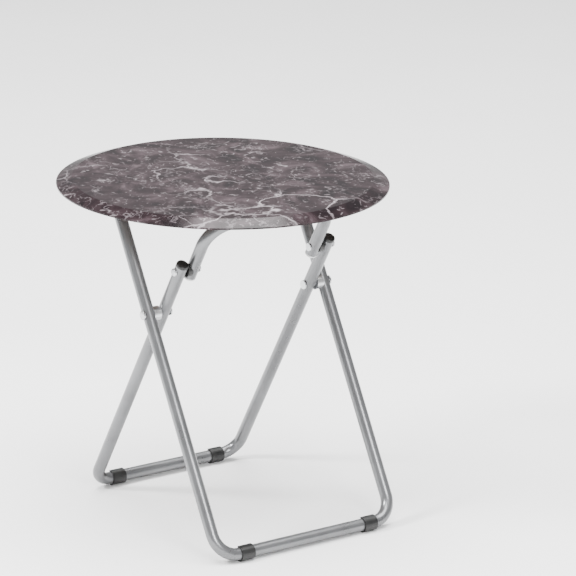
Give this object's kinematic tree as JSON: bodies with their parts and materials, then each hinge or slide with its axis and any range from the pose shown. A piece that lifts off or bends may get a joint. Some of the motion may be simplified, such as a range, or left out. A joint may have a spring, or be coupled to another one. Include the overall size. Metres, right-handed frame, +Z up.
{
  "type": "folding tray table",
  "caption": "Round marble-look tray table on crossed tubular steel frames that scissor shut while the top hinges down flat against them.",
  "frame": {"origin": "on the floor under the centre of the round top", "axes": "+Z up, +X towards the outer frame's foot bar, Y along both foot bars"},
  "size_m": [0.5079, 0.508, 0.524],
  "materials": {
    "marble_laminate": "gloss",
    "particle_board": "matt",
    "backing_paper": "matt",
    "silver_tube": "satin silver",
    "zinc_steel": "zinc plated",
    "black_plastic": "satin",
    "pale_plastic": "satin"
  },
  "bodies": {
    "outer_frame": {"outer_tube": "silver_tube", "scissor_spacer_near": "zinc_steel", "scissor_spacer_far": "zinc_steel", "scissor_rivet_near": "zinc_steel", "scissor_rivet_far": "zinc_steel", "outer_foot_clip_near": "black_plastic", "outer_foot_clip_far": "black_plastic"},
    "tabletop": {"board_core": "particle_board", "marble_laminate": "marble_laminate", "backing_sheet": "backing_paper", "bracket_screws": "zinc_steel", "saddle_screws": "zinc_steel", "hinge_bracket_near": "zinc_steel", "hinge_bracket_far": "zinc_steel", "hinge_pin_near": "zinc_steel", "hinge_pin_far": "zinc_steel", "arm_saddle_near": "zinc_steel", "arm_saddle_far": "zinc_steel"},
    "inner_frame": {"inner_tube": "silver_tube", "inner_leg_cap_near": "black_plastic", "inner_leg_cap_far": "black_plastic", "knee_leg_rivet_near": "zinc_steel", "knee_leg_rivet_far": "zinc_steel", "inner_foot_clip_near": "black_plastic", "inner_foot_clip_far": "black_plastic"},
    "upper_arms": {"arm_tube": "silver_tube", "arm_end_plug_near": "pale_plastic", "arm_end_plug_far": "pale_plastic", "knee_spacer_near": "black_plastic", "knee_spacer_far": "black_plastic", "knee_arm_rivet_near": "zinc_steel", "knee_arm_rivet_far": "zinc_steel"}
  },
  "joints": [
    {"name": "scissor_fold", "type": "hinge", "parent": "outer_frame", "child": "inner_frame", "pos_m": [0.04131, 0, 0.34226], "axis": [0, -1, 0], "range_deg": [0, 56]},
    {"name": "top_hinge", "type": "hinge", "parent": "outer_frame", "child": "tabletop", "pos_m": [-0.04666, 0, 0.4928], "axis": [0, 1, 0], "range_deg": [0, 56]},
    {"name": "arm_hinge", "type": "hinge", "parent": "tabletop", "child": "upper_arms", "pos_m": [0.12893, 0, 0.4928], "axis": [0, 1, 0], "range_deg": [0, 56]}
  ],
  "couplings": [
    {"joint": "top_hinge", "follows": "scissor_fold", "ratio": 0.98678},
    {"joint": "arm_hinge", "follows": "scissor_fold", "ratio": 0.98843}
  ]
}
